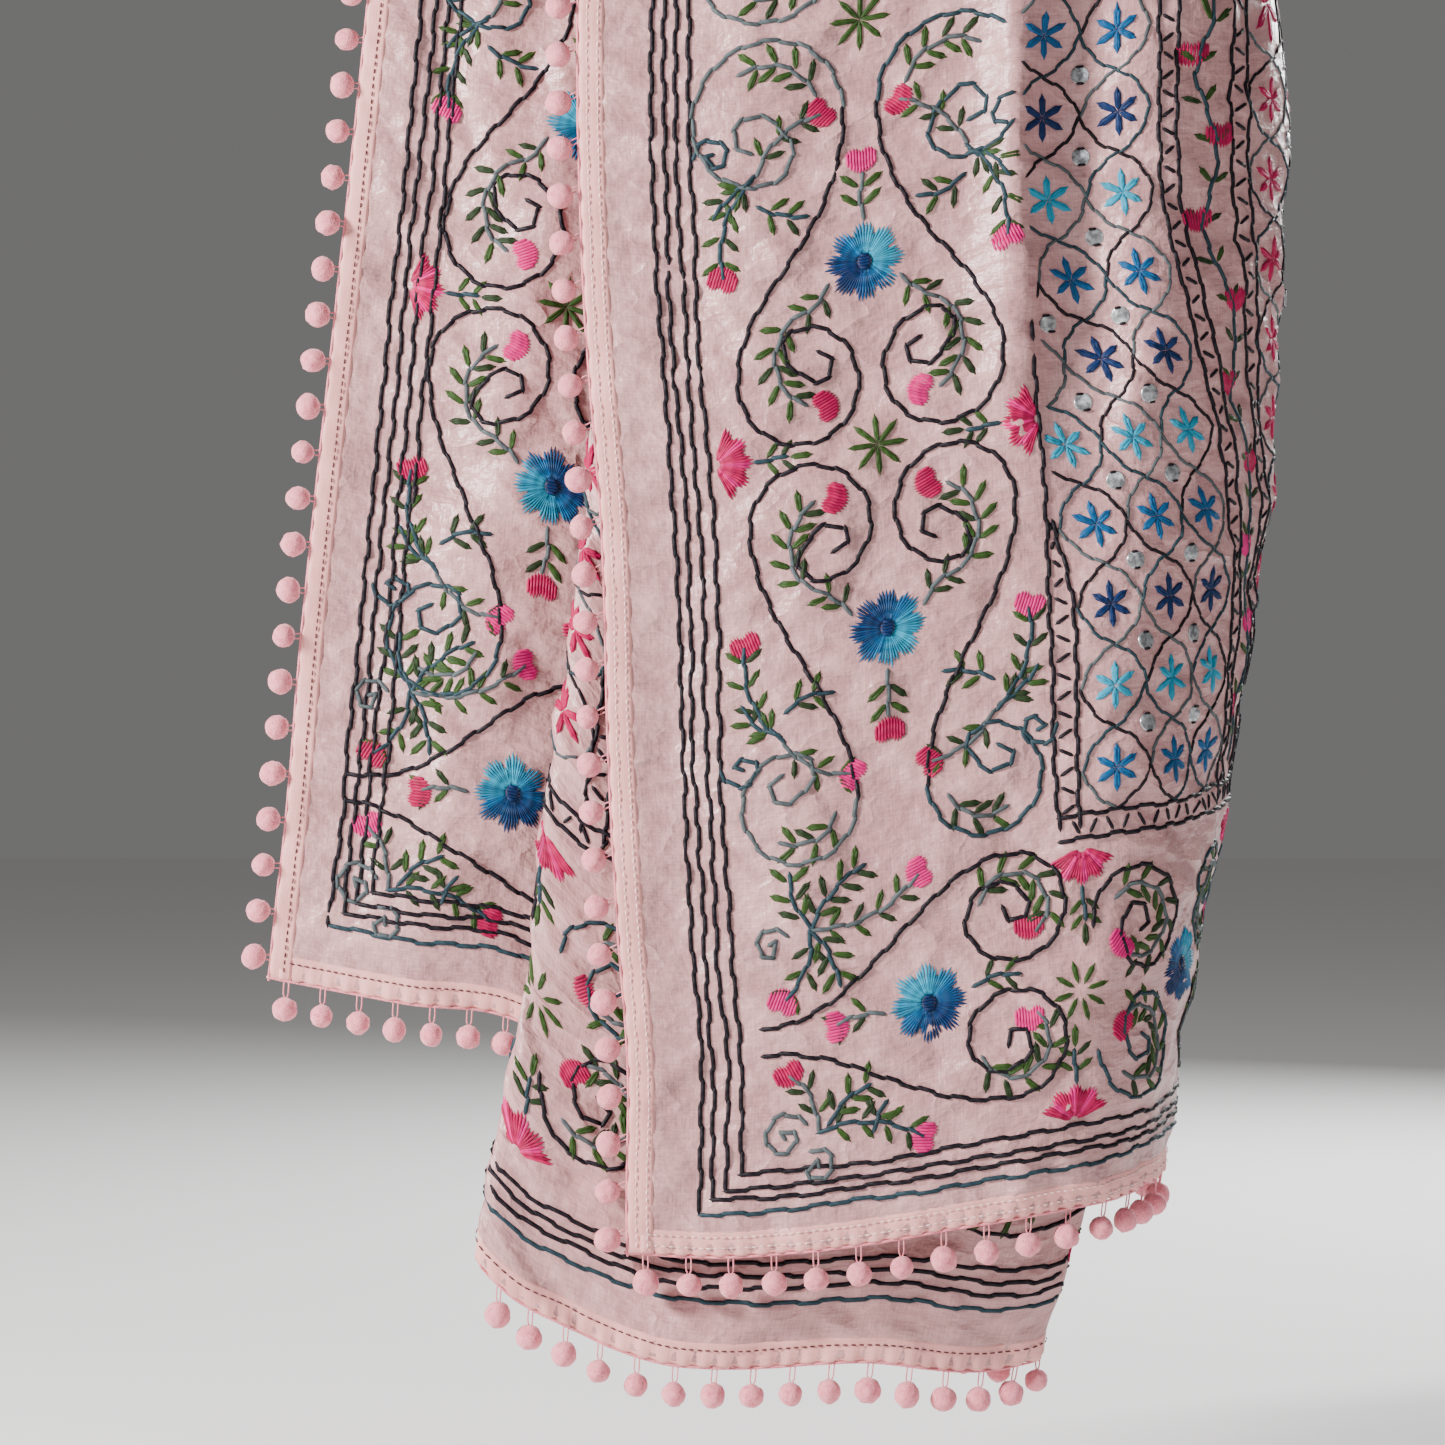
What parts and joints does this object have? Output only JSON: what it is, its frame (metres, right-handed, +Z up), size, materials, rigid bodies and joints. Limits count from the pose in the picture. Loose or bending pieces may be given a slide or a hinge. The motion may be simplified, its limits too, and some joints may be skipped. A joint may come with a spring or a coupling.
{
  "type": "phulkari shawl",
  "caption": "Long embroidered shawl with pompom edging, worn over both shoulders with two long front falls.",
  "frame": {"origin": "midway between the shoulders, at the height where the cloth rests on them", "axes": "+Z up along the hanging falls, -Y to the front, +X to the side whose arm is covered"},
  "size_m": [0.7173, 0.36, 1.4311],
  "materials": {
    "cloth": "satin",
    "tape": "satin",
    "pompom": "matte"
  },
  "bodies": {
    "root": {"cloth_right_fall_front": "cloth", "cloth_right_fall_side": "cloth", "cloth_right_shoulder": "cloth", "cloth_back": "cloth", "cloth_left_shoulder": "cloth", "cloth_left_fall_inner": "cloth", "cloth_left_fall_outer": "cloth", "tape_right_neck_edge": "tape", "tape_right_outer_edge": "tape", "tape_shoulders_neck_edge": "tape", "tape_shoulders_outer_edge": "tape", "tape_left_neck_edge": "tape", "tape_left_outer_edge": "tape", "tape_right_hem": "tape", "tape_left_inner_hem": "tape", "tape_left_outer_hem": "tape", "pompoms_right_neck_edge": "pompom", "pompoms_right_outer_edge": "pompom", "pompoms_shoulders_neck_edge": "pompom", "pompoms_shoulders_outer_edge": "pompom", "pompoms_left_neck_edge": "pompom", "pompoms_left_outer_edge": "pompom", "pompoms_right_hem": "pompom", "pompoms_left_inner_hem": "pompom", "pompoms_left_outer_hem": "pompom"}
  },
  "joints": []
}
